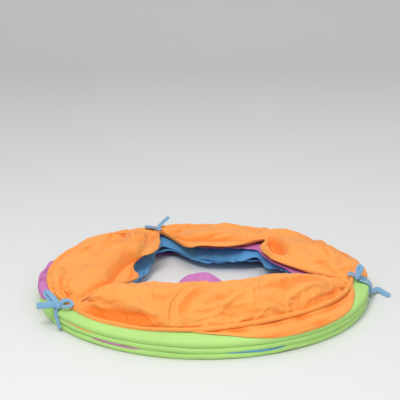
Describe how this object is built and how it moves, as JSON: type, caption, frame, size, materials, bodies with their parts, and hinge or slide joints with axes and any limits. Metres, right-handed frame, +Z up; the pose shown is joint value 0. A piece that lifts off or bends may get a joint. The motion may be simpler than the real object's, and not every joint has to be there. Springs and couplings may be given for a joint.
{
  "type": "kids play tunnel",
  "caption": "Children's pop-up crawl tunnel packed flat: a cloth tube folded between the turns of a spring wire, held shut by ribbon ties.",
  "frame": {"origin": "floor level, at the middle of the packed tunnel seen from above", "axes": "+Z up along the tunnel, +X to the right ribbon tie, -Y to the side that the picture shows"},
  "size_m": [0.5014, 0.4766, 0.0724],
  "materials": {
    "ribbon": "matte",
    "crimp_steel": "satin",
    "spring_steel": "satin",
    "orange_cloth": "satin",
    "green_cloth": "satin",
    "purple_cloth": "satin",
    "blue_cloth": "satin"
  },
  "bodies": {
    "bottom": {"bottom_hem": "green_cloth", "fold_1": "purple_cloth", "bottom_crimp_sleeve": "crimp_steel", "spring_coil": "spring_steel", "left_tie_lower_strap": "ribbon", "right_tie_lower_strap": "ribbon", "back_tie_lower_strap": "ribbon"},
    "turn_1": {"wire_sleeve_1": "green_cloth", "fold_2": "blue_cloth"},
    "turn_2": {"wire_sleeve_2": "green_cloth", "fold_3": "orange_cloth"},
    "turn_3": {"wire_sleeve_3": "green_cloth", "fold_4": "green_cloth"},
    "turn_4": {"wire_sleeve_4": "green_cloth", "fold_5": "blue_cloth"},
    "turn_5": {"wire_sleeve_5": "green_cloth", "fold_6": "purple_cloth"},
    "turn_6": {"wire_sleeve_6": "green_cloth"},
    "mouth": {"mouth_hem": "orange_cloth", "mouth_roll": "orange_cloth", "top_crimp_sleeve": "crimp_steel", "back_tie_knot": "ribbon", "back_tie_loop": "ribbon", "back_tie_tail": "ribbon", "back_tie_upper_strap": "ribbon", "left_tie_knot": "ribbon", "left_tie_long_loop": "ribbon", "left_tie_short_loop": "ribbon", "left_tie_tail": "ribbon", "left_tie_upper_strap": "ribbon", "right_tie_knot": "ribbon", "right_tie_long_loop": "ribbon", "right_tie_short_loop": "ribbon", "right_tie_tail": "ribbon", "right_tie_upper_strap": "ribbon"}
  },
  "joints": [
    {"name": "tunnel_extend", "type": "slide", "parent": "bottom", "child": "mouth", "axis": [0, 0, 1], "range_m": [0, 1.45], "deforming": ["spring_coil"]},
    {"name": "turn_1_spread", "type": "slide", "parent": "bottom", "child": "turn_1", "axis": [0, 0, 1], "range_m": [0, 0.1213]},
    {"name": "turn_2_spread", "type": "slide", "parent": "bottom", "child": "turn_2", "axis": [0, 0, 1], "range_m": [0, 0.363]},
    {"name": "turn_3_spread", "type": "slide", "parent": "bottom", "child": "turn_3", "axis": [0, 0, 1], "range_m": [0, 0.6047]},
    {"name": "turn_4_spread", "type": "slide", "parent": "bottom", "child": "turn_4", "axis": [0, 0, 1], "range_m": [0, 0.8463]},
    {"name": "turn_5_spread", "type": "slide", "parent": "bottom", "child": "turn_5", "axis": [0, 0, 1], "range_m": [0, 1.088]},
    {"name": "turn_6_spread", "type": "slide", "parent": "bottom", "child": "turn_6", "axis": [0, 0, 1], "range_m": [0, 1.3297]}
  ],
  "couplings": [
    {"joint": "turn_1_spread", "follows": "tunnel_extend", "ratio": 0.083333},
    {"joint": "turn_2_spread", "follows": "tunnel_extend", "ratio": 0.25},
    {"joint": "turn_3_spread", "follows": "tunnel_extend", "ratio": 0.41667},
    {"joint": "turn_4_spread", "follows": "tunnel_extend", "ratio": 0.58333},
    {"joint": "turn_5_spread", "follows": "tunnel_extend", "ratio": 0.75},
    {"joint": "turn_6_spread", "follows": "tunnel_extend", "ratio": 0.91667}
  ]
}
